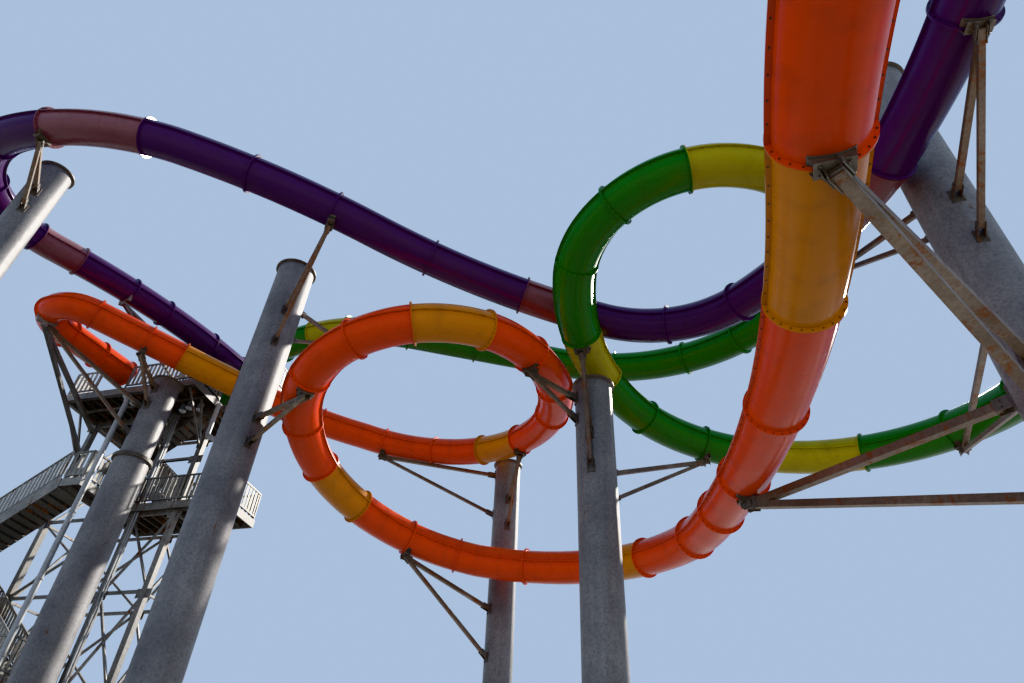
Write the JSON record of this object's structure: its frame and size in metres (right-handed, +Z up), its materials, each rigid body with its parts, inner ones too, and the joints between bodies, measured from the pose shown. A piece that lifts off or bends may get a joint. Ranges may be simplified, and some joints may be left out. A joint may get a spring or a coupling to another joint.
{
  "type": "water slide tower",
  "caption": "Water slide tower: closed tube slides in orange, purple and green wind down from a steel stair tower, carried by bracket arms on round columns.",
  "frame": {"origin": "underside of column D's base plate, on the column's axis, at ground level", "axes": "+Z up; +X to the right and +Y away, as seen by the visitor who looks up at the slides with the stair tower at the left"},
  "size_m": [34.5177, 29.3446, 21.2989],
  "materials": {
    "orange_tube": "weathered gloss gelcoat",
    "amber_tube": "weathered gloss gelcoat, translucent",
    "purple_tube": "weathered gloss gelcoat",
    "pink_tube": "weathered gloss gelcoat, translucent",
    "green_tube": "weathered gloss gelcoat",
    "yellow_tube": "weathered gloss gelcoat, translucent",
    "column_steel": "weathered grey paint with rust at the joints",
    "tower_steel": "weathered light grey paint with rust runs"
  },
  "bodies": {
    "root": {"amber_run_1": "amber_tube", "amber_run_2": "amber_tube", "amber_run_3": "amber_tube", "amber_run_4": "amber_tube", "amber_run_5": "amber_tube", "amber_run_6": "amber_tube", "column_a": "column_steel", "column_b": "column_steel", "column_c": "column_steel", "column_d": "column_steel", "column_e": "column_steel", "column_g": "column_steel", "green_run_1": "green_tube", "green_run_2": "green_tube", "green_run_3": "green_tube", "green_run_4": "green_tube", "green_run_5": "green_tube", "lower_deck": "tower_steel", "middle_landing": "tower_steel", "orange_run_1": "orange_tube", "orange_run_2": "orange_tube", "orange_run_3": "orange_tube", "orange_run_4": "orange_tube", "orange_run_5": "orange_tube", "orange_run_6": "orange_tube", "orange_run_7": "orange_tube", "outer_stair_frame": "tower_steel", "pink_run_1": "pink_tube", "pink_run_2": "pink_tube", "pink_run_3": "pink_tube", "pink_run_4": "pink_tube", "purple_run_1": "purple_tube", "purple_run_2": "purple_tube", "purple_run_3": "purple_tube", "purple_run_4": "purple_tube", "purple_run_5": "purple_tube", "stair_flight_1": "tower_steel", "stair_flight_2": "tower_steel", "stair_flight_3": "tower_steel", "stair_flight_4": "tower_steel", "stair_flight_5": "tower_steel", "stair_flight_6": "tower_steel", "stair_flight_7": "tower_steel", "tower_back_frame": "tower_steel", "tower_front_frame": "tower_steel", "tower_left_bracing": "tower_steel", "tower_right_bracing": "tower_steel", "upper_deck": "tower_steel", "yellow_run_1": "yellow_tube", "yellow_run_2": "yellow_tube", "yellow_run_3": "yellow_tube", "yellow_run_4": "yellow_tube"}
  },
  "joints": []
}
